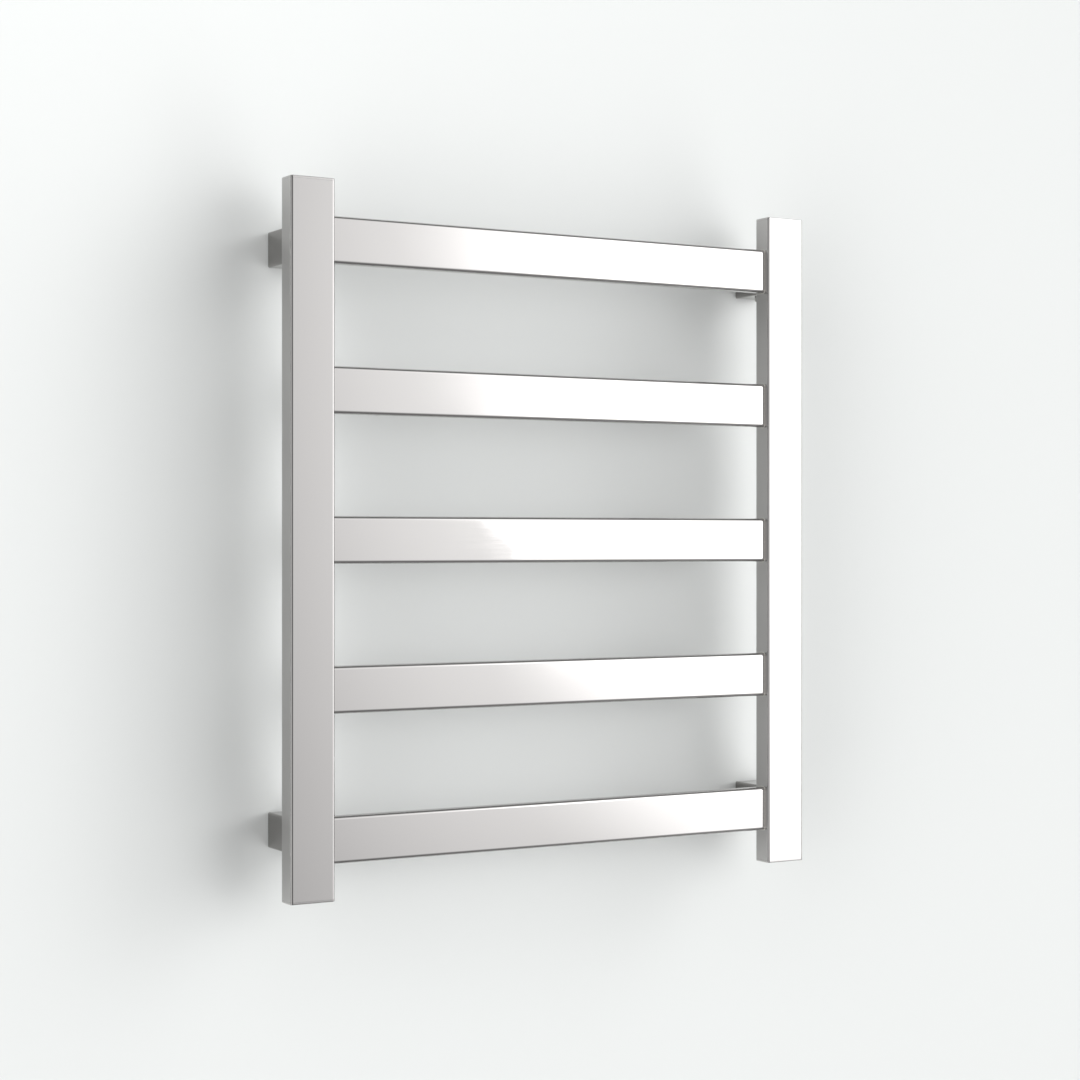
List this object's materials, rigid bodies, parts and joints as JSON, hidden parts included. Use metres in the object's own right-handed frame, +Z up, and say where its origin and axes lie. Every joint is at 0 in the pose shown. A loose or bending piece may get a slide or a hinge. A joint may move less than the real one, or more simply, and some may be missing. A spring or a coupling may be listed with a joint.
{
  "type": "towel warmer rack",
  "caption": "Wall-hung electric towel warmer: a ladder of flat polished steel rungs between two flat uprights, on hidden wall posts.",
  "frame": {"origin": "on the wall plane, at the centre of the rectangle of four wall screws", "axes": "+X along the rungs to the right as seen from the front, +Y into the wall, +Z up"},
  "size_m": [0.52, 0.06, 0.6],
  "materials": {
    "polished_upright": "mirror-polished stainless steel tube",
    "polished_rung": "mirror-polished stainless steel flat tube",
    "polished_cap": "polished stainless steel plate, weld dressed flush",
    "polished_sleeve": "polished stainless steel square tube",
    "nylon_post": "glass-filled nylon, moulded",
    "screw_steel": "stainless steel set screw",
    "black_rubber": "moulded rubber",
    "silicone_cable": "silicone sheath",
    "silicone_seal": "silicone boot",
    "cutout_resin": "moulded resin",
    "core_insulation": "silicone core insulation",
    "polyamide_block": "natural polyamide",
    "brass_insert": "turned brass",
    "zinc_screw": "zinc-plated steel",
    "tinned_brass": "tinned brass blade"
  },
  "bodies": {
    "wall_posts": {"wall_post_top_left": "nylon_post", "wall_post_top_right": "nylon_post", "wall_post_bottom_left": "nylon_post", "wall_post_bottom_right": "nylon_post"},
    "rack": {"upright_left": "polished_upright", "upright_right": "polished_upright", "rung_1": "polished_rung", "rung_2": "polished_rung", "rung_3": "polished_rung", "rung_4": "polished_rung", "rung_5": "polished_rung", "end_cap_top_left": "polished_cap", "end_cap_top_right": "polished_cap", "end_cap_bottom_left": "polished_cap", "end_cap_bottom_right": "polished_cap", "bracket_sleeve_top_left": "polished_sleeve", "bracket_sleeve_top_right": "polished_sleeve", "bracket_sleeve_bottom_left": "polished_sleeve", "bracket_sleeve_bottom_right": "polished_sleeve", "set_screws": "screw_steel", "supply_grommet": "black_rubber", "heating_cable": "silicone_cable", "cable_end_seal": "silicone_seal", "thermal_cutout": "cutout_resin", "core_wires": "core_insulation", "terminal_block": "polyamide_block", "terminal_inserts": "brass_insert", "terminal_screws": "zinc_screw", "earth_tab": "tinned_brass"}
  },
  "joints": [
    {"name": "rack_draw_off", "type": "slide", "parent": "wall_posts", "child": "rack", "axis": [0, -1, 0], "range_m": [0, 0.035]}
  ]
}
